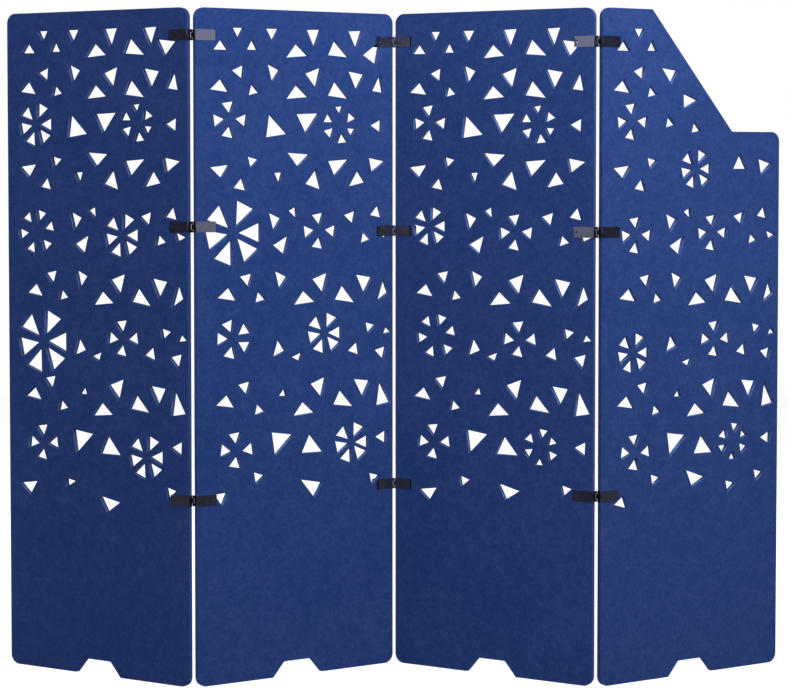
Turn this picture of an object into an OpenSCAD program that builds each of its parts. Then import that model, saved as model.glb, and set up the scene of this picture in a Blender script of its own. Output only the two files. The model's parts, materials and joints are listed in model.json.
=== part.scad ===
/* [Boards] */
// Width of each felt board
board_w = 500; // [440:1:560]
// Height of each felt board
board_h = 1500; // [1350:1:1650]
// Thickness of the felt
board_t = 12; // [9:0.5:15]
// Radius of the boards' outer corners
corner_r = 22; // [10:1:40]

/* [Stance] */
// Angle that each board stands at to the width of the screen
stance = 30; // [15:1:45]

/* [Floor notch] */
// Width of the notch at the floor
notch_w = 124; // [100:1:160]
// Height of the notch
notch_h = 34; // [24:1:50]
// Length along the floor that each sloped side takes
notch_run = 28; // [15:1:40]
// Radius of the notch's four corners
notch_r = 7; // [3:1:10]

/* [Stepped corner of the fourth board] */
// Length of the top edge that keeps the full height
step_top_w = 136; // [100:1:180]
// How far the ledge lies below the top edge
step_drop = 270; // [200:1:320]
// Length of the ledge
ledge_w = 138; // [100:1:180]
// Radius where the slope meets the top edge and the ledge
step_r = 12; // [4:1:20]

/* [Hinge places] */
// Top edge down to the middle of each fold's upper hinge, from the left
upper_drops = [60, 64, 74]; // [50:1:120]
// Top edge down to the middle of each fold's middle hinge
middle_drops = [481, 497, 493]; // [400:1:600]
// Top edge down to the middle of each fold's lower hinge
lower_drops = [1086, 1082, 1077]; // [1000:1:1150]

/* [Hinge clips] */
// Height of a clip
clip_h = 24; // [20:1:30]
// Thickness of the clips' sheet metal
sheet = 0.8; // [0.6:0.1:1]
// Inside radius of the clips' bends
bend_r = 0.5; // [0.4:0.1:0.8]
// Length of the leg on the outside of the fold, from the board's edge
long_leg = 48; // [40:1:60]
// Length of the leg on the inside of the fold, from the board's edge
short_leg = 42; // [35:1:50]
// Radius of the legs' free corners
leg_r = 2; // [1:0.5:4]
// Diameter of the eyelet near the end of a two-finger clip's long leg
eyelet_d = 5; // [3:0.1:6]
// Distance from the long leg's end to the eyelet
eyelet_inset = 7; // [5:0.5:10]
// Height that the short leg's lip stands off the board
lip_rise = 1; // [0.8:0.1:1.4]
// Length of the flared lip
lip_run = 4; // [3:0.5:6]
// Length of the windows that the fingers are bent out of
window_len = 3; // [2:0.5:8]
// Gap between two facing lips when the screen is folded shut
shut_gap = 0.8; // [0.4:0.1:1.6]

/* [Hinge pins] */
// Diameter of the hinge pins
pin_d = 2; // [1.6:0.1:2.6]
// Radial play of a pin in its knuckles
pin_play = 0.05; // [0.02:0.01:0.1]
// Gap between neighbouring knuckles
finger_gap = 0.3; // [0.2:0.1:0.6]
// Height of each outer knuckle
outer_finger_h = 6; // [5:0.5:7]
// Diameter of a pin's riveted ends
rivet_d = 3.2; // [2.8:0.1:4]
// Height of a pin's riveted ends
rivet_h = 0.6; // [0.4:0.1:1]

/* [Rows of cut-outs] */
// Top edge down to the first row of rosettes
rosette_drop = 250; // [240:1:270]
// Distance from one row of rosettes to the next
row_pitch = 243; // [230:1:250]

/* [Cut-out sizes, base then height] */
// Smallest triangle
speck = [17, 12]; // [10:1:60]
// Low small triangle
flake = [23, 13]; // [10:1:60]
// Narrow sliver
sliver = [15, 19]; // [10:1:60]
// Small triangle
small = [21, 19]; // [10:1:60]
// Even triangle
chip = [26, 23]; // [10:1:60]
// Low triangle
low = [30, 20]; // [10:1:60]
// Sloping low triangle
slope = [41, 24]; // [10:1:60]
// Long blade
blade = [35, 21]; // [10:1:60]
// Thin shard
shard = [42, 17]; // [10:1:60]
// Spike beside a hinge
spike = [24, 33]; // [10:1:60]
// Tall spike
tall = [32, 48]; // [10:1:60]
// Dart
dart = [30, 35]; // [10:1:60]
// Even triangle of the outer column
even = [34, 30]; // [10:1:60]
// Fin
fin = [42, 30]; // [10:1:60]
// Wide triangle
wide = [50, 27]; // [10:1:60]
// Spearhead
spear = [34, 45]; // [10:1:60]
// Sail of the large pair
sail = [58, 39]; // [10:1:60]
// Kite of the large pair
kite = [44, 46]; // [10:1:60]

/* [Rosette petals, base then height] */
// Four petals
four_petal = [25, 22]; // [10:1:60]
// Five petals
five_petal = [25, 23]; // [10:1:60]
// Six petals
six_petal = [26, 28]; // [10:1:60]
// Six petals, a size smaller
snug_petal = [23, 25]; // [10:1:60]
// Six petals set apart
open_petal = [22, 21]; // [10:1:60]
// Six large petals
large_petal = [41, 48]; // [10:1:60]
// Six small petals
fine_petal = [20, 18]; // [10:1:60]

/* [Rosettes: centre to the middle of a petal beside it, then above it] */
// Four petals
four_ring = [30, 31]; // [20:0.5:60]
// Five petals
five_ring = [30, 34]; // [20:0.5:60]
// Six petals
six_ring = [32, 38]; // [20:0.5:60]
// Six close petals
close_ring = [29.5, 34.5]; // [20:0.5:60]
// Six petals set apart
open_ring = [39, 41]; // [20:0.5:60]
// Six large petals
large_ring = [47, 53.5]; // [20:0.5:60]
// Six small petals
fine_ring = [31.5, 35.5]; // [20:0.5:60]

/* [Shift of a board's cut-outs: percent of its width, percent of a row pitch down] */
// First board
shift_1 = [0.2, -0.2]; // [-1.5:0.1:1]
// Second board
shift_2 = [-0.6, 0]; // [-1.5:0.1:1]
// Third board
shift_3 = [0.1, 0.4]; // [-1.5:0.1:1]
// Fourth board
shift_4 = [-1.4, 0.8]; // [-1.5:0.1:1]

/* [Hidden] */
$fn = 48;

// how far a cut runs on past the board's edge
overrun = 1;

bore_r = pin_d / 2 + pin_play;
knuckle_r = bore_r + sheet;
// board's edge to the hinge axis, along the board
edge_x = bore_r + sheet + bend_r;
// board's inner face to the hinge axis, across the board
face_y = sheet + lip_rise + shut_gap / 2;
// hinge axis to the outer face of the board
outer_y = face_y + board_t;
mid_finger_z = outer_finger_h + finger_gap;
mid_finger_h = clip_h - 2 * mid_finger_z;

// middle plane of a board to a hinge axis
axis_y = board_t / 2 + face_y;
axis_pitch = board_w + 2 * edge_x;
ridge_x = axis_pitch * cos(stance) + 2 * axis_y * sin(stance);
half_depth = (axis_pitch * sin(stance) - 2 * axis_y * cos(stance)) / 2;

step_foot_x = board_w - ledge_w;
ledge_z = board_h - step_drop;

felt_colour = [0.13, 0.21, 0.45];
clip_colour = [0.12, 0.12, 0.15];
pin_colour = [0.35, 0.35, 0.38];

// Each cut-out: percent across the board, percent of a row pitch below the row's line, size,
// heading of its point (0 is up and the heading grows clockwise)
row_a = [
    [21, -8, small, 180], [38, -7.5, chip, 180], [59, -6, dart, 178], [80.5, -6, dart, 177],
    [12.5, 7, low, 0], [28, 6.5, small, 0], [50.5, 10.5, wide, -5], [71, 8.5, spear, 115]
];
row_b = [
    [21.5, -8.5, chip, 156], [38.5, -9, blade, 75], [59, -5.5, fin, -75], [81, -4.5, fin, 65],
    [12, 6, slope, 7], [28.5, 9, small, -14], [50.5, 11, wide, -5], [71, 9, spear, 118],
    [92.5, 3.5, spike, 8]
];
row_c = [[39, 6, sail, -135], [55.5, -2.5, kite, 62], [92, 2.5, chip, -87]];
row_d = [
    [12, -6.5, slope, 173], [28, -14.5, small, 76], [51, -17.5, wide, -176],
    [71, -10.5, spear, 65], [91, -12, dart, 78], [22, 8, chip, 131], [41, -1, sliver, 176],
    [59, 4.5, fin, -106], [81.5, 3.5, dart, -125]
];
row_e = [
    [39, -10, blade, 75], [48.5, -17.5, sliver, 153], [42.5, 13, dart, 38],
    [78, -12.5, chip, 42], [91.5, -15.5, chip, 12], [85.5, 8.5, small, -138],
    [96, 4.5, flake, -157]
];
row_f = [
    [25, -7, chip, 168], [42, -6, blade, 76], [62.5, -2.5, fin, -75], [85, -1, fin, 65],
    [15.5, 8, slope, 9], [31.5, 11.5, small, -14], [54, 14, wide, -6], [74.5, 12, spear, 120],
    [95, 9, shard, 108]
];
row_g = [
    [80, 12.5, chip, 20], [88, -8, small, 77], [97, -3, speck, -10], [94, 16, chip, 165]
];
whole_g = [[41, 9.5, blade, 107], [50.5, 17, flake, 158]];
row_h = [
    [24, -8, chip, 168], [43, 1, speck, 127], [61.5, -5, fin, -76], [84, -3, fin, 62],
    [14.5, 6, slope, 9], [31, 15, small, -16], [53.5, 17.5, wide, -5], [73.5, 10.5, spear, 118],
    [94.5, 9.5, tall, -10]
];
row_i = [[41.5, -6, sail, -45], [57.5, 2, kite, 116], [94.5, -3, chip, -88]];

// The rows that differ on the fourth board, where the slope cuts the upper ones short
short_a = [[21, -8, small, 180], [12.5, 7, low, 0], [28, 6.5, small, 0]];
short_b = [
    [21.5, -8.5, chip, 156], [38, -8, dart, -59], [12, 6, slope, 7], [28, 10, small, -14],
    [48.5, 16.5, dart, 88]
];
short_c = [[38, 0, small, -15], [52.5, 5, small, -12]];
short_d = [
    [12, -6.5, slope, 173], [28, -14.5, small, 76], [78, -12, even, 0], [92, -11, even, 78],
    [22, 8, chip, 131]
];
short_g = [[39.5, 4, blade, 107], [48.5, 21, flake, 162]];

// The cut-out of row_a below the upper clip, board by board
clip_cuts = [[89, 6, fin, 187], [89.5, 10, spear, 32], [89, 6, fin, 187]];

// The last row, which differs from board to board
last_rows = [
    [[11.5, 3, slope, 172], [35, -4.5, sliver, 80], [57, 12.5, wide, -168], [90.5, -3, small, 77]],
    [[12, 2, chip, 175], [30.5, -13.5, small, 80], [58, -1, spear, -59], [90, -4.5, small, 77]],
    [[17.5, 8, slope, 172], [36, -6, small, 80], [58.5, 1, wide, -165], [87, -4.5, small, 77]],
    [
        [12, 7, low, 17], [30.5, -12, small, 80], [53, -10, wide, -160], [73, -0.5, small, 77],
        [89.5, -8.5, small, 77]
    ]
];

// Rows of a whole board and of the fourth board, each with its line in row pitches below
// the first row of rosettes
first_row = -0.75;
whole_rows = [
    [first_row, row_a], [-0.375, row_b], [0, row_c], [0.5, row_d], [1, row_e], [1.5, row_f],
    [2, row_g], [2, whole_g], [2.5, row_h], [3, row_i]
];
short_rows = [
    [first_row, short_a], [-0.375, short_b], [0, short_c], [0.5, short_d], [1, row_e],
    [1.5, row_f], [2, row_g], [2, short_g], [2.5, row_h], [3, row_i]
];
last_row = 3.4;

// Headings of the petals from the centre
four_spokes = [352, 90, 189, 269];
five_spokes = [56, 119, 195, 272, 338];
six_spokes = [26, 90, 139, 202, 257, 313];
open_spokes = [18, 74, 136, 202, 263, 321];
fine_spokes = [357, 62, 116, 170, 237, 290];
low_spokes = [9, 63, 118, 184, 250, 303];

// Kinds of rosette: headings of the petals, petal, ring, how far each petal turns off its
// spoke, share of the full size that each petal has
four = [four_spokes, four_petal, four_ring, [-2, 8, 2, -6], 1];
turned_four = [four_spokes, four_petal, four_ring, [0, -8, 2, 9], 1];
five = [five_spokes, five_petal, five_ring, 0, 1];
six = [six_spokes, six_petal, six_ring, 0, 1];
close_six = [six_spokes, six_petal, close_ring, 0, 1];
snug_six = [six_spokes, snug_petal, close_ring, 0, 1];
open_six = [open_spokes, open_petal, open_ring, 0, 1];
large = [six_spokes, large_petal, large_ring, 0, 1];
fine = [
    fine_spokes, fine_petal, fine_ring, [-5, -24, 8, 4, -10, 9], [0.75, 1, 0.8, 1.05, 1.05, 1]
];
low_fine = [
    low_spokes, fine_petal, fine_ring, [0, -18, 22, -3, -15, 14], [0.95, 0.8, 0.95, 0.75, 0.9, 1]
];

// Rosettes of each board: row pitches below the first row, percent across, percent of a row
// pitch below the line, kind
rosettes = [
    [
        [0, 16.5, 1.5, six], [0, 73, 0.5, fine], [1, 16.5, 2, open_six], [1, 64.5, 4, six],
        [2, 20, 5, large], [2, 65, -1, turned_four], [3, 20, 0.5, turned_four],
        [3, 77.5, 7, six]
    ],
    [
        [0, 17, -2, four], [0, 72.5, 1.5, fine], [1, 18.5, 1, large], [1, 62, 0.5, four],
        [2, 18.5, -2, five], [2, 64.5, -4, close_six], [3, 20, 0, turned_four],
        [3, 78.5, 0.5, close_six]
    ],
    [
        [0, 18, -0.5, four], [0, 73, 1.5, fine], [1, 18, -3.5, snug_six], [1, 62, 1, four],
        [2, 21.5, -0.5, open_six], [2, 64, -0.5, turned_four], [3, 20.5, -0.5, turned_four],
        [3, 74.5, -1.5, low_fine]
    ],
    [
        [0, 17.5, -1, four], [0.5, 53, -8, snug_six], [1, 20, 2.5, four], [1, 62.5, 1.5, four],
        [2, 18.5, 10, snug_six], [2, 64.5, 0.5, turned_four], [3, 20, 1.5, turned_four],
        [3, 75, -1, low_fine]
    ]
];
shifts = [shift_1, shift_2, shift_3, shift_4];

function unit(v) = v / norm(v);

// Sliver between a corner at p, whose sides run along a and b, and an arc of radius r
// that touches both sides. It rounds a corner where it is taken away and fillets one
// where it is added.
module corner_sliver(p, a, b, r) {
    half = acos(unit(a) * unit(b)) / 2;
    reach = r / tan(half);
    centre = p + unit(unit(a) + unit(b)) * r / sin(half);
    difference() {
        polygon([p, p + unit(a) * reach, centre, p + unit(b) * reach]);
        translate(centre) circle(r);
    }
}

// Triangle about its middle, pointing up
module triangle(size) {
    polygon([[-size[0] / 2, -size[1] / 3], [size[0] / 2, -size[1] / 3], [0, size[1] * 2 / 3]]);
}

// Puts a cut-out at its percent across and its row pitches below the first row of rosettes
module at_row(across, line) {
    translate([across / 100 * board_w, board_h - rosette_drop - line * row_pitch]) children();
}

// Triangles of one row
module row_cuts(line, cuts) {
    for (cut = cuts)
        at_row(cut[0], line + cut[1] / 100) rotate(-cut[3]) triangle(cut[2]);
}

function share(value, i) = is_list(value) ? value[i] : value;

// Ring of petals that point at its centre, on an ellipse
module rosette(kind) {
    spokes = kind[0];
    ring = kind[2];
    for (i = [0:len(spokes) - 1])
        rotate(-spokes[i])
            translate([0, ring[1] + (ring[0] - ring[1]) * pow(sin(spokes[i]), 2)])
                rotate(180 - share(kind[3], i))
                    triangle(kind[1] * share(kind[4], i));
}

// All cut-outs of board n, counted from 0
module board_cuts(n) {
    translate([shifts[n][0] / 100 * board_w, -shifts[n][1] / 100 * row_pitch]) {
        for (row = n == 3 ? short_rows : whole_rows) row_cuts(row[0], row[1]);
        if (n < 3) row_cuts(first_row, [clip_cuts[n]]);
        row_cuts(last_row, last_rows[n]);
        for (r = rosettes[n]) at_row(r[1], r[0] + r[2] / 100) rosette(r[3]);
    }
}

module notch() {
    foot_l = board_w / 2 - notch_w / 2;
    foot_r = board_w / 2 + notch_w / 2;
    top_l = [foot_l + notch_run, notch_h];
    top_r = [foot_r - notch_run, notch_h];
    side = [notch_run, notch_h];
    difference() {
        union() {
            polygon([[foot_l, 0], top_l, top_r, [foot_r, 0], [foot_r, -overrun], [foot_l, -overrun]]);
            corner_sliver([foot_l, 0], [-1, 0], side, notch_r);
            corner_sliver([foot_r, 0], [1, 0], [-side[0], side[1]], notch_r);
        }
        corner_sliver(top_l, [1, 0], -side, notch_r);
        corner_sliver(top_r, [-1, 0], [side[0], -side[1]], notch_r);
    }
}

module board_outline() {
    difference() {
        square([board_w, board_h]);
        corner_sliver([0, 0], [1, 0], [0, 1], corner_r);
        corner_sliver([board_w, 0], [-1, 0], [0, 1], corner_r);
        corner_sliver([0, board_h], [1, 0], [0, -1], corner_r);
        corner_sliver([board_w, board_h], [-1, 0], [0, -1], corner_r);
        notch();
    }
}

// Outline of the fourth board, whose top right corner slopes down to a ledge
module stepped_outline() {
    slope_top = [step_top_w, board_h];
    slope_foot = [step_foot_x, ledge_z];
    down = slope_foot - slope_top;
    difference() {
        board_outline();
        difference() {
            polygon([
                slope_top, slope_foot, [board_w + overrun, ledge_z],
                [board_w + overrun, board_h + overrun], [step_top_w, board_h + overrun]
            ]);
            corner_sliver(slope_foot, -down, [1, 0], step_r);
        }
        corner_sliver(slope_top, [-1, 0], down, step_r);
        corner_sliver([board_w, ledge_z], [-1, 0], [0, -1], corner_r);
    }
}

// Board n stood up, its left edge at x = 0 and its middle plane at y = 0
module board(n) {
    translate([0, board_t / 2, 0])
        rotate([90, 0, 0])
            linear_extrude(board_t)
                difference() {
                    if (n == 3) stepped_outline(); else board_outline();
                    board_cuts(n);
                }
}

// Quarter of a bend about p in the quadrant that the signs give
module bend(p, sx, sy) {
    translate(p)
        intersection() {
            difference() {
                circle(bend_r + sheet);
                circle(bend_r);
            }
            scale([sx, sy]) square(bend_r + sheet);
        }
}

// Rectangle of sheet with rounded corners at its far end, drawn flat along x
module leg_blank(from_x, length) {
    difference() {
        translate([from_x, 0]) square([length, clip_h]);
        corner_sliver([from_x + length, 0], [-1, 0], [0, 1], leg_r);
        corner_sliver([from_x + length, clip_h], [-1, 0], [0, -1], leg_r);
    }
}

// The clips are drawn about their hinge axis: x runs along the board from the axis and y
// from the inside of the fold to the outside.
module long_leg_plate(has_eyelet) {
    translate([0, outer_y + sheet, 0])
        rotate([90, 0, 0])
            linear_extrude(sheet)
                difference() {
                    leg_blank(edge_x, long_leg);
                    if (has_eyelet)
                        translate([edge_x + long_leg - eyelet_inset, clip_h / 2])
                            circle(d = eyelet_d);
                }
}

// Short leg beyond its windows, with the lip that flares away from the board
module short_leg_plate() {
    start = edge_x + window_len;
    end = edge_x + short_leg;
    intersection() {
        linear_extrude(clip_h)
            polygon([
                [start, face_y], [end - lip_run, face_y], [end, face_y - lip_rise],
                [end, face_y - lip_rise - sheet], [end - lip_run, face_y - sheet],
                [start, face_y - sheet]
            ]);
        translate([0, face_y + sheet, 0])
            rotate([90, 0, 0])
                linear_extrude(face_y + 3 * sheet) leg_blank(start, end - start);
    }
}

module web() {
    linear_extrude(clip_h) {
        translate([bore_r, face_y + bend_r])
            square([sheet, board_t - 2 * bend_r]);
        bend([edge_x, outer_y - bend_r], -1, 1);
    }
}

// Bend and root of the short leg, between z and z + h
module short_leg_root(z, h) {
    translate([0, 0, z])
        linear_extrude(h) {
            bend([edge_x, face_y + bend_r], -1, -1);
            translate([edge_x, face_y - sheet]) square([window_len, sheet]);
        }
}

// Finger that runs on from the web and curls round the pin
module finger(z, h) {
    translate([0, 0, z])
        linear_extrude(h)
            difference() {
                union() {
                    circle(knuckle_r);
                    translate([bore_r, 0]) square([sheet, face_y + bend_r]);
                }
                circle(bore_r);
            }
}

// Clip with two outer fingers
module two_finger_clip() {
    long_leg_plate(true);
    web();
    short_leg_plate();
    short_leg_root(mid_finger_z, mid_finger_h);
    finger(0, outer_finger_h);
    finger(clip_h - outer_finger_h, outer_finger_h);
}

// Clip with one finger in the middle
module one_finger_clip() {
    long_leg_plate(false);
    web();
    short_leg_plate();
    short_leg_root(0, outer_finger_h);
    short_leg_root(clip_h - outer_finger_h, outer_finger_h);
    finger(mid_finger_z, mid_finger_h);
}

module pin() {
    cylinder(d = pin_d, h = clip_h);
    for (z = [-rivet_h, clip_h])
        translate([0, 0, z]) cylinder(d = rivet_d, h = rivet_h);
}

// Hinge axis of a fold, counted from 0: a ridge towards the viewer, a valley and a ridge
function fold_axis(fold) =
    [(fold - 1) * ridge_x, fold == 1 ? half_depth : -half_depth, 0];

// Puts a board whose hinge axis at p lies at local x and y into its turn
module turned_board(p, turn, x, y) {
    translate(p) rotate([0, 0, turn]) translate([-x, -y, 0]) children();
}

module place_1() {
    turned_board(fold_axis(0), -stance, board_w + edge_x, axis_y) children();
}
module place_2() {
    turned_board(fold_axis(0), stance, -edge_x, axis_y) children();
}
module place_3() {
    turned_board(fold_axis(1), -stance, -edge_x, -axis_y) children();
}
module place_4() {
    turned_board(fold_axis(2), stance, -edge_x, axis_y) children();
}

// Clip of a fold, on the board to its right or left. The left one has two fingers unless
// the hinge is fitted the other way round.
module clip_at(fold, right, drop, reversed) {
    ridge = fold != 1;
    translate(fold_axis(fold) + [0, 0, board_h - drop - clip_h / 2])
        rotate([0, 0, (ridge == right ? 1 : -1) * stance])
            mirror([right ? 0 : 1, 0, 0])
                mirror([0, ridge ? 1 : 0, 0])
                    if (right == reversed) two_finger_clip(); else one_finger_clip();
}

module left_clip(fold, drops, reversed = false) {
    color(clip_colour) clip_at(fold, false, drops[fold], reversed);
}

module right_clip(fold, drops, reversed = false) {
    color(clip_colour) clip_at(fold, true, drops[fold], reversed);
}

module hinge_pin(fold, drops) {
    color(pin_colour)
        translate(fold_axis(fold) + [0, 0, board_h - drops[fold] - clip_h / 2]) pin();
}

module panel_1() { color(felt_colour) place_1() board(0); }
module panel_2() { color(felt_colour) place_2() board(1); }
module panel_3() { color(felt_colour) place_3() board(2); }
module panel_4() { color(felt_colour) place_4() board(3); }

module hinge_12_upper_left_clip() { left_clip(0, upper_drops); }
module hinge_12_upper_right_clip() { right_clip(0, upper_drops); }
module hinge_12_upper_pin() { hinge_pin(0, upper_drops); }
module hinge_12_middle_left_clip() { left_clip(0, middle_drops); }
module hinge_12_middle_right_clip() { right_clip(0, middle_drops); }
module hinge_12_middle_pin() { hinge_pin(0, middle_drops); }
module hinge_12_lower_left_clip() { left_clip(0, lower_drops, true); }
module hinge_12_lower_right_clip() { right_clip(0, lower_drops, true); }
module hinge_12_lower_pin() { hinge_pin(0, lower_drops); }

module hinge_23_upper_left_clip() { left_clip(1, upper_drops); }
module hinge_23_upper_right_clip() { right_clip(1, upper_drops); }
module hinge_23_upper_pin() { hinge_pin(1, upper_drops); }
module hinge_23_middle_left_clip() { left_clip(1, middle_drops); }
module hinge_23_middle_right_clip() { right_clip(1, middle_drops); }
module hinge_23_middle_pin() { hinge_pin(1, middle_drops); }
module hinge_23_lower_left_clip() { left_clip(1, lower_drops); }
module hinge_23_lower_right_clip() { right_clip(1, lower_drops); }
module hinge_23_lower_pin() { hinge_pin(1, lower_drops); }

module hinge_34_upper_left_clip() { left_clip(2, upper_drops); }
module hinge_34_upper_right_clip() { right_clip(2, upper_drops); }
module hinge_34_upper_pin() { hinge_pin(2, upper_drops); }
module hinge_34_middle_left_clip() { left_clip(2, middle_drops); }
module hinge_34_middle_right_clip() { right_clip(2, middle_drops); }
module hinge_34_middle_pin() { hinge_pin(2, middle_drops); }
module hinge_34_lower_left_clip() { left_clip(2, lower_drops); }
module hinge_34_lower_right_clip() { right_clip(2, lower_drops); }
module hinge_34_lower_pin() { hinge_pin(2, lower_drops); }

panel_1();
panel_2();
panel_3();
panel_4();
hinge_12_upper_left_clip();
hinge_12_upper_right_clip();
hinge_12_upper_pin();
hinge_12_middle_left_clip();
hinge_12_middle_right_clip();
hinge_12_middle_pin();
hinge_12_lower_left_clip();
hinge_12_lower_right_clip();
hinge_12_lower_pin();
hinge_23_upper_left_clip();
hinge_23_upper_right_clip();
hinge_23_upper_pin();
hinge_23_middle_left_clip();
hinge_23_middle_right_clip();
hinge_23_middle_pin();
hinge_23_lower_left_clip();
hinge_23_lower_right_clip();
hinge_23_lower_pin();
hinge_34_upper_left_clip();
hinge_34_upper_right_clip();
hinge_34_upper_pin();
hinge_34_middle_left_clip();
hinge_34_middle_right_clip();
hinge_34_middle_pin();
hinge_34_lower_left_clip();
hinge_34_lower_right_clip();
hinge_34_lower_pin();
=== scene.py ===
import json
import math

import bmesh
import bpy
import numpy as np
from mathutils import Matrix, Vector


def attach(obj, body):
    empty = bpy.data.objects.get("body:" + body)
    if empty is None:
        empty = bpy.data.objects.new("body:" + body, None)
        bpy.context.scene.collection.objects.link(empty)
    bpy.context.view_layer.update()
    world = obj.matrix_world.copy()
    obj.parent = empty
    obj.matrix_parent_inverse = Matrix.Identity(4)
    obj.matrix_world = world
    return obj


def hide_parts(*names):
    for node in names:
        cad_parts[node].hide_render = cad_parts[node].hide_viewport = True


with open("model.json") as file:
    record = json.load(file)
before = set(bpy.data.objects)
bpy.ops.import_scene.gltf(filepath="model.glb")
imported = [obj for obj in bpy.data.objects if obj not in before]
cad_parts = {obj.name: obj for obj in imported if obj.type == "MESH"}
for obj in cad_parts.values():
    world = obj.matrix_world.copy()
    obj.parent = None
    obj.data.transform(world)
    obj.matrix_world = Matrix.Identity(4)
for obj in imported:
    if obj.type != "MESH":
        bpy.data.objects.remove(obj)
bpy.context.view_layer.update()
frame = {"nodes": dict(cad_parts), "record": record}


# Shader maths

class Wire:  # an output socket; each operator adds the Math node that works it out
    def __init__(self, shader, socket):
        self.shader = shader
        self.socket = socket

    def __add__(self, other):
        return self.shader.math("ADD", self, other)

    __radd__ = __add__

    def __sub__(self, other):
        return self.shader.math("SUBTRACT", self, other)

    def __rsub__(self, other):
        return self.shader.math("SUBTRACT", other, self)

    def __mul__(self, other):
        return self.shader.math("MULTIPLY", self, other)

    __rmul__ = __mul__

    def __truediv__(self, other):
        return self.shader.math("DIVIDE", self, other)

    def __rtruediv__(self, other):
        return self.shader.math("DIVIDE", other, self)


class Shader:  # the nodes of a new material or world
    def __init__(self, owner):
        owner.use_nodes = True
        self.owner = owner
        self.tree = owner.node_tree
        self.tree.nodes.clear()

    def node(self, kind, settings=None, sockets=None, output=0):
        # any node: its settings first, a ramp's stops among them, then its sockets' values or links
        made = self.tree.nodes.new("ShaderNode" + kind)
        for name, value in (settings or {}).items():
            if name == "stops":
                self.setStops(made.color_ramp, value)
            else:
                setattr(made, name, value)
        for name, value in (sockets or {}).items():
            if isinstance(value, Wire):
                self.tree.links.new(value.socket, made.inputs[name])
            else:
                made.inputs[name].default_value = value
        return Wire(self, made.outputs[output]) if len(made.outputs) else None

    def setStops(self, ramp, stops):  # each stop is its place and its colour
        while len(ramp.elements) < len(stops):
            ramp.elements.new(1)
        for element, (place, shade) in zip(ramp.elements, stops):
            element.position = place
            element.color = (*shade, 1)

    def math(self, operation, *values):
        return self.node("Math", {"operation": operation}, dict(enumerate(values)))

    def place(self, turn=(0, 0, 0), stretch=(1, 1, 1), spot=None):
        # object coordinates, or the given ones, stretched and then turned
        spot = spot or self.node("TexCoord", output="Object")
        sockets = {"Vector": spot, "Rotation": turn, "Scale": stretch}
        return self.node("Mapping", {"vector_type": "POINT"}, sockets)

    def noise(self, vector, scale, detail, rough, bend=0):
        sockets = {
            "Vector": vector,
            "Scale": scale,
            "Detail": detail,
            "Roughness": rough,
            "Distortion": bend,
        }
        return self.node("TexNoise", {}, sockets)

    def spread(self, value, source, target):  # the range source carried over to the range target, clamped
        sockets = {
            "Value": value,
            "From Min": source[0],
            "From Max": source[1],
            "To Min": target[0],
            "To Max": target[1],
        }
        return self.node("MapRange", {}, sockets)

    def bump(self, height, strength, distance, under=None):
        sockets = {"Height": height, "Strength": strength, "Distance": distance}
        if under:
            sockets["Normal"] = under
        return self.node("Bump", {}, sockets)

    def surface(self, sockets):  # constants are set on the shader's own sockets
        skin = self.node("BsdfPrincipled", {}, sockets)
        self.node("OutputMaterial", {}, {"Surface": skin})
        return self.owner


# Camera

camera = {
    "spot": (-0.040, -5.068, 1.174),  # metres; the eye is in front, and higher than the boards' middle
    "lens": 102.75,  # mm
    "sensor": 36,  # mm wide
    "pitch": 2.44,  # degrees down from level
    "yaw": -0.453,  # degrees, a little to the right
    "shiftY": -0.12,
    "clip": (0.05, 100),  # metres
}


def makeCamera(given):
    data = bpy.data.cameras.new("camera")
    data.lens = given["lens"]
    data.sensor_width = given["sensor"]
    data.sensor_fit = "HORIZONTAL"
    data.shift_y = given["shiftY"]
    data.clip_start, data.clip_end = given["clip"]
    made = bpy.data.objects.new("camera", data)
    made.location = given["spot"]
    made.rotation_euler = (math.radians(90 - given["pitch"]), 0, math.radians(given["yaw"]))
    bpy.context.scene.collection.objects.link(made)
    bpy.context.scene.camera = made


makeCamera(camera)


# Studio

studio = {
    "worldLight": 0.265,  # even light from all round
    "backdrop": 1.0,  # what the camera and glass see, and gloss behind the screen
    "roomGloss": 0.14,  # share of the backdrop that gloss sees on the viewer's side
    "roomTurn": (-0.35, 0.1),  # directions to the back over which that share grows to 1
    "floorHalf": 6.0,  # metres, to the sides and the back
    "floorFront": 1.4,  # metres to the front; past this the world takes over, so low gloss stays dark
    "floorColour": 0.4,  # what it gives back to the boards
    "floorTurn": (-1.6, 0.2),  # metres to the back over which the floor's share grows to 1
    "floorGlow": 0.84,  # the floor's own white for the camera, which leaves room for the shadow
    "lamps": [  # name, place, aim, width and height in metres, watts, colour
        ("rightBox", (2.39, -2.53, 1.95), (0.1, 0, 1.1), (1.8, 2.3), 53, (1.0, 0.99, 0.98)),
        ("leftBox", (-2.59, -2.24, 1.95), (0.1, 0, 1.1), (1.1, 2.3), 31, (0.97, 0.985, 1.0)),
        ("topBox", (0.8, -1.0, 2.8), (0.12, 0, 1.0), (1.4, 0.7), 42.5, (1.0, 1.0, 1.0)),
        ("leftBackBox", (-2.6, 1.9, 1.7), (0, 0, 0.9), (1.4, 2.0), 42, (1.0, 1.0, 1.0)),
        ("rightBackBox", (2.6, 1.9, 1.7), (0, 0, 0.9), (1.4, 2.0), 42, (1.0, 1.0, 1.0)),
    ],
}
white = (1, 1, 1, 1)


def frontShare(shader, backward, turn, share):
    # share of the backdrop that gloss sees: a smooth step from share to 1 as backward runs over turn
    step = {
        "Value": backward,
        "From Min": turn[0],
        "From Max": turn[1],
        "To Min": share,
        "To Max": 1.0,
    }
    return shader.node("MapRange", {"interpolation_type": "SMOOTHSTEP"}, step)


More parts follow.
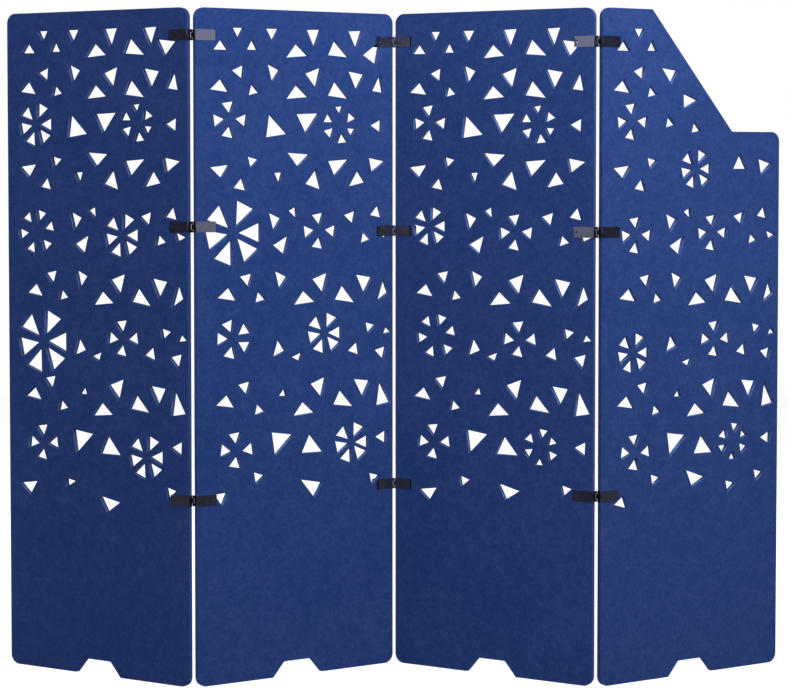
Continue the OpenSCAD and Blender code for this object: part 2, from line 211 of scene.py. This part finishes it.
def seenShare(shader, share):  # 1 for the camera and through glass, the share for gloss, otherwise 0
    lens = shader.node("LightPath", output="Is Camera Ray")
    glass = shader.node("LightPath", output="Is Transmission Ray")
    gloss = shader.node("LightPath", output="Is Glossy Ray") * share
    return shader.math("MAXIMUM", shader.math("MAXIMUM", lens, glass), gloss)


def makeWorld(given):  # the backdrop where it is seen, and the plain level of light where it isn't
    shader = Shader(bpy.data.worlds.new("studio"))
    bpy.context.scene.world = shader.owner
    way = shader.node("TexCoord", output="Generated")
    backward = shader.node("SeparateXYZ", {}, {0: way}, "Y")
    share = frontShare(shader, backward, given["roomTurn"], given["roomGloss"])
    seen = seenShare(shader, share)
    gloss = shader.node("LightPath", output="Is Glossy Ray")
    light = (1 - gloss) * given["worldLight"]
    strength = shader.math("MAXIMUM", seen * given["backdrop"], light)
    sky = shader.node("Background", {}, {"Color": white, "Strength": strength})
    shader.node("OutputWorld", {}, {"Surface": sky})


def makeLamp(name, spot, aim, size, watts, colour):
    data = bpy.data.lights.new(name, "AREA")
    data.shape = "RECTANGLE"
    data.size, data.size_y = size
    data.energy = watts
    data.color = colour
    made = bpy.data.objects.new(name, data)
    made.location = spot
    made.rotation_euler = (Vector(aim) - Vector(spot)).to_track_quat("-Z", "Y").to_euler()
    made.visible_camera = False
    bpy.context.scene.collection.objects.link(made)


def floorPaint(given):  # a pale floor that adds its own white where it is seen and keeps the shadow
    shader = Shader(bpy.data.materials.new("paleFloor"))
    backward = shader.node("SeparateXYZ", {}, {0: shader.place()}, "Y")
    share = frontShare(shader, backward, given["floorTurn"], given["roomGloss"])
    glow = seenShare(shader, share) * given["floorGlow"]
    mat = shader.node("BsdfDiffuse", {}, {"Color": (given["floorColour"],) * 3 + (1,)})
    shine = shader.node("Emission", {}, {"Color": white, "Strength": glow})
    both = shader.node("AddShader", {}, {0: mat, 1: shine})
    shader.node("OutputMaterial", {}, {"Surface": both})
    return shader.owner


def makeFloor(given):
    half = given["floorHalf"]
    front = -given["floorFront"]
    corners = [(-half, front, 0), (half, front, 0), (half, half, 0), (-half, half, 0)]
    mesh = bpy.data.meshes.new("floor")
    mesh.from_pydata(corners, [], [(0, 1, 2, 3)])
    made = bpy.data.objects.new("floor", mesh)
    mesh.materials.append(floorPaint(given))
    bpy.context.scene.collection.objects.link(made)


makeWorld(studio)
for lamp in studio["lamps"]:
    makeLamp(*lamp)
makeFloor(studio)
bpy.context.scene.view_settings.view_transform = "Standard"
print("stage 2: camera, lamps and floor")


# Pieces taken over from the CAD nodes

taken = {
    "joinWithin": 2e-6,  # metres between corners of loose triangles that are one corner
    "flatWithin": 0.3,  # degrees between neighbouring faces that are one face
    "edgeSegments": 2,
}


def mergedCopy(node, name, given, change=None):  # the node's triangles joined, then its flat ones fused
    work = bmesh.new()
    work.from_mesh(frame["nodes"][node].data)
    bmesh.ops.remove_doubles(work, verts=work.verts, dist=given["joinWithin"])
    if change:
        change(work)
    flatWithin = math.radians(given["flatWithin"])
    bmesh.ops.dissolve_limit(work, angle_limit=flatWithin, verts=work.verts, edges=work.edges)
    mesh = bpy.data.meshes.new(name)
    work.to_mesh(mesh)
    work.free()
    made = bpy.data.objects.new(name, mesh)
    bpy.context.scene.collection.objects.link(made)
    return made


def roundEdges(piece, width, angle, segments):  # every edge sharper than the angle, in degrees
    bevel = piece.modifiers.new("softEdge", "BEVEL")
    bevel.width = width
    bevel.segments = segments
    bevel.limit_method = "ANGLE"
    bevel.angle_limit = math.radians(angle)
    bevel.use_clamp_overlap = True
    bevel.harden_normals = False


bodyOf = {node: body for body, nodes in frame["record"]["behaviour"]["bodies"].items() for node in nodes}


# Felt boards

felt = {
    # random fibre tone, partly painted: the light shade, paler and less blue, is a painted highlight on the
    # fibres, and all three hold a painted sheen of neutral haze
    "face": ((0.0128, 0.0375, 0.160), (0.0185, 0.0460, 0.178), (0.0262, 0.0565, 0.200)),
    "cut": ((0.045, 0.090, 0.27), (0.070, 0.125, 0.34), (0.110, 0.175, 0.42)),  # painted glow: the holes' walls are paler, standing in for backlight that glows through and grazes the cut felt
    "tones": (0.33, 0.5, 0.67),  # fibre tones at which the deep, plain and light shade stand
    "cloud": (5.5, 2, 0.5),  # noise scale per metre, detail and roughness: the dye's slow unevenness
    "patch": (42, 2, 0.55),
    "clump": (130, 3, 0.6),
    "fibre": (2, 0.55, 0.6),  # detail, roughness and bend of the fibres
    "lays": ((0.35, 900), (-0.75, 1100), (1.35, 1000)),  # each lay's turn in radians, and its scale
    "fibreStretch": 0.12,  # a fibre's width to its length
    "weights": {"fibre": 1.1, "clump": 0.7, "patch": 0.4, "cloud": 0.25},  # shares in the tone
    "roughness": (0.9, 1.0),  # where clumps lie low, and where they stand up
    "clumpBump": (0.25, 0.0006),  # strength, and height in metres
    "fibreBump": (0.55, 0.0005),
    "gloss": 0.04,
    "sheen": 0.1,
    "sheenSpread": 0.55,
    "sheenTint": (0.55, 0.66, 1.0, 1.0),
    "edgeWidth": 0.0004,  # metres; the knife leaves the arris slightly soft
    "edgeAngle": 35,  # degrees
    "turn": {"panel_1": -30, "panel_2": 30, "panel_3": -30, "panel_4": 30},  # degrees from +X
    # metres along each board by which the felt's thickness hides its cut-outs from the front: the
    # solids' cut-outs are as wide as the light that shows through them, and the real ones this much wider
    "opening": {"panel_1": -0.0085, "panel_2": 0.0066, "panel_3": -0.0060, "panel_4": 0.0078},
}
middling = (0.3, 0.7)  # the middle of what a noise gives


def feltPaint(name, turn, given, shades):
    # needled fibre: long thin fibres laid three ways, small clumps, and a slow cloudiness in the dye;
    # tone = 0.5 + the sum of weight * (noise - 0.5), and the three shades follow the tone
    shader = Shader(bpy.data.materials.new(name))
    flat = shader.place((0, 0, -turn))
    cloud = shader.noise(flat, *given["cloud"])
    patch = shader.noise(flat, *given["patch"])
    clump = shader.noise(flat, *given["clump"])
    fibres = []
    for angle, tight in given["lays"]:
        lay = shader.place((0, angle, 0), (1, 1, given["fibreStretch"]), flat)
        fibres.append(shader.noise(lay, tight, *given["fibre"]))
    fibre = (fibres[0] + fibres[1] + fibres[2]) / len(fibres)
    weights = given["weights"]
    tone = (fibre - 0.5) * weights["fibre"] + (clump - 0.5) * weights["clump"]
    tone = tone + (patch - 0.5) * weights["patch"] + (cloud - 0.5) * weights["cloud"] + 0.5
    # the face shades hold painted fibre highlights and sheen, the cut shades painted glow
    stops = list(zip(given["tones"], given[shades]))
    coarse = shader.bump(clump, *given["clumpBump"])
    return shader.surface({
        "Base Color": shader.node("ValToRGB", {"stops": stops}, {"Fac": tone}),
        "Roughness": shader.spread(clump, middling, given["roughness"]),
        "Normal": shader.bump(fibre, *given["fibreBump"], coarse),
        "Specular IOR Level": given["gloss"],
        "Sheen Weight": given["sheen"],
        "Sheen Roughness": given["sheenSpread"],
        "Sheen Tint": given["sheenTint"],
    })


def openedTriangle(corners, drift):
    # each side of a triangle moves out by the part of the drift along its outward normal n:
    # n.x = n.corner + max(0, n.drift), and the new corners are where neighbouring sides meet
    sides = np.roll(corners, -1, 0) - corners
    normals = np.stack([sides[:, 1], -sides[:, 0]], 1) / np.linalg.norm(sides, axis=1)[:, None]
    normals *= np.sign(((corners - corners.mean(0)) * normals).sum(1))[:, None]
    reach = (normals * corners).sum(1) + np.maximum(0, normals @ drift)
    pairs = np.stack([np.roll(normals, 1, 0), normals], 1)
    meets = np.stack([np.roll(reach, 1), reach], 1)
    return np.linalg.solve(pairs, meets[..., None])[..., 0]


def wallGroups(work):  # the rings of wall corners, one for each cut-out and one for the outline
    known = set()
    for start in work.verts:
        if start in known:
            continue
        known.add(start)
        group = [start]
        for vert in group:
            for edge in vert.link_edges:
                other = edge.other_vert(vert)
                if other not in known:
                    known.add(other)
                    group.append(other)
        yield group


def moveCut(group, along, across, drift):  # the corners behind move with the ones in front of them
    middle = np.mean([vert.co.dot(across) for vert in group])
    spots = np.array([(v.co.dot(along), v.co.z) for v in group if v.co.dot(across) < middle])
    moves = openedTriangle(spots, np.array((drift, 0))) - spots
    for vert in group:
        near = np.abs(spots - (vert.co.dot(along), vert.co.z)).sum(1).argmin()
        vert.co += along * moves[near, 0] + Vector((0, 0, moves[near, 1]))


def openCuts(work, along, across, drift):
    # the board's two faces are taken away, the triangular cut-outs' walls move and get the second
    # skin, and the two faces are closed anew
    flat = [face for face in work.faces if abs(face.normal.dot(across)) > 0.5]
    bmesh.ops.delete(work, geom=flat, context="FACES")
    for group in wallGroups(work):
        if len(group) == 6:  # three corners in front and three behind
            # these walls take the second skin, whose paler shades are painted glow
            for vert in group:
                for wall in vert.link_faces:
                    wall.material_index = 1
            moveCut(group, along, across, drift)
    rims = [edge for edge in work.edges if edge.is_boundary]
    middle = sum(edge.verts[0].co.dot(across) for edge in rims) / len(rims)
    for side in (-1, 1):
        rim = [edge for edge in rims if (edge.verts[0].co.dot(across) - middle) * side > 0]
        outward = across * side
        bmesh.ops.triangle_fill(work, use_beauty=True, use_dissolve=False, edges=rim, normal=outward)
    bmesh.ops.recalc_face_normals(work, faces=work.faces)


feltSkins = {}
for turn in sorted(set(felt["turn"].values())):
    side = "left" if turn < 0 else "right"
    around = math.radians(turn)
    # the face skin holds painted fibre highlights and sheen; the cut skin's paler shades are painted glow
    feltSkins[turn] = (
        feltPaint("feltFace_" + side, around, felt, "face"),
        feltPaint("feltCut_" + side, around, felt, "cut"),
    )

for node, turn in felt["turn"].items():
    around = math.radians(turn)
    along = Vector((math.cos(around), math.sin(around), 0))
    across = Vector((-math.sin(around), math.cos(around), 0))
    drift = felt["opening"][node]
    board = mergedCopy(node, "felt_" + node, taken, lambda work: openCuts(work, along, across, drift))
    for skin in feltSkins[turn]:
        board.data.materials.append(skin)
    roundEdges(board, felt["edgeWidth"], felt["edgeAngle"], taken["edgeSegments"])
    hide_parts(node)
    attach(board, bodyOf[node])
print("stage 3: felt boards")


# Hinge clips and pins

metal = {
    "tones": ((0.35, (0.005, 0.0055, 0.013)), (0.7, (0.008, 0.009, 0.019))),  # black, and worn
    "roughness": (0.15, 0.22),  # the same way
    "skinBump": (0.04, 0.0001),  # strength, and height in metres
    "gloss": 0.78,
    "glossTint": (0.65, 0.66, 1.0, 1.0),
    "clipGrain": (2520, 105),  # noise scales per metre of the coat's skin and of its wear
    "pinGrain": (3600, 150),
    "clipEdge": 0.00018,  # metres
    "pinEdge": 0.0002,
    "edgeAngle": 30,  # degrees
}


def blackPaint(name, given, grain):  # satin powder coat: a fine skin texture and slow variation in gloss
    shader = Shader(bpy.data.materials.new(name))
    spot = shader.place()
    skin = shader.noise(spot, grain[0], 2, 0.5)
    wear = shader.noise(spot, grain[1], 3, 0.6)
    return shader.surface({
        "Base Color": shader.node("ValToRGB", {"stops": given["tones"]}, {"Fac": wear}),
        "Roughness": shader.spread(wear, middling, given["roughness"]),
        "Normal": shader.bump(skin, *given["skinBump"]),
        "Specular IOR Level": given["gloss"],
        "Specular Tint": given["glossTint"],
    })


clipPaint = blackPaint("clipCoat", metal, metal["clipGrain"])
pinPaint = blackPaint("pinCoat", metal, metal["pinGrain"])
for node in sorted(frame["nodes"]):
    if not node.startswith("hinge_"):
        continue
    isPin = node.endswith("_pin")
    piece = mergedCopy(node, "dressed_" + node, taken)
    piece.data.materials.append(pinPaint if isPin else clipPaint)
    edge = metal["pinEdge"] if isPin else metal["clipEdge"]
    roundEdges(piece, edge, metal["edgeAngle"], taken["edgeSegments"])
    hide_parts(node)
    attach(piece, bodyOf[node])
print("stage 4: hinge clips and pins")
